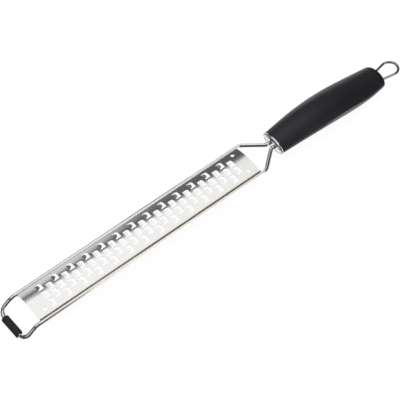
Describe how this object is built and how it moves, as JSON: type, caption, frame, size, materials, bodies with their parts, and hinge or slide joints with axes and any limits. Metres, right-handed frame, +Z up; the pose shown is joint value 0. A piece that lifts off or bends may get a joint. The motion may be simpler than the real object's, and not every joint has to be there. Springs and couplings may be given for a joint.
{
  "type": "rasp zester",
  "caption": "Hand-held rasp zester: an arched steel blade with raised teeth, held in a bent wire frame with a rubber foot, a soft black handle and a wire hanging loop.",
  "frame": {"origin": "on the table plane under the middle of the overall length and width", "axes": "+X from the rubber foot to the hanging loop, +Y across, +Z up from the table"},
  "size_m": [0.3878, 0.0362, 0.022],
  "materials": {
    "blade_steel": "fine satin",
    "bright_wire": "polished",
    "weld_metal": "as welded",
    "foot_rubber": "matt",
    "ferrule_chrome": "polished",
    "sleeve_steel": "drawn",
    "core_plastic": "moulded",
    "grip_rubber": "soft satin",
    "cap_plastic": "soft satin",
    "loop_wire": "polished"
  },
  "bodies": {
    "root": {"grating_blade": "blade_steel", "frame_wire": "bright_wire", "rail_welds": "weld_metal", "front_foot": "foot_rubber", "ferrule": "ferrule_chrome", "tang_sleeve": "sleeve_steel", "handle_core": "core_plastic", "handle_grip": "grip_rubber", "rear_cap": "cap_plastic", "hanging_loop": "loop_wire"}
  },
  "joints": []
}
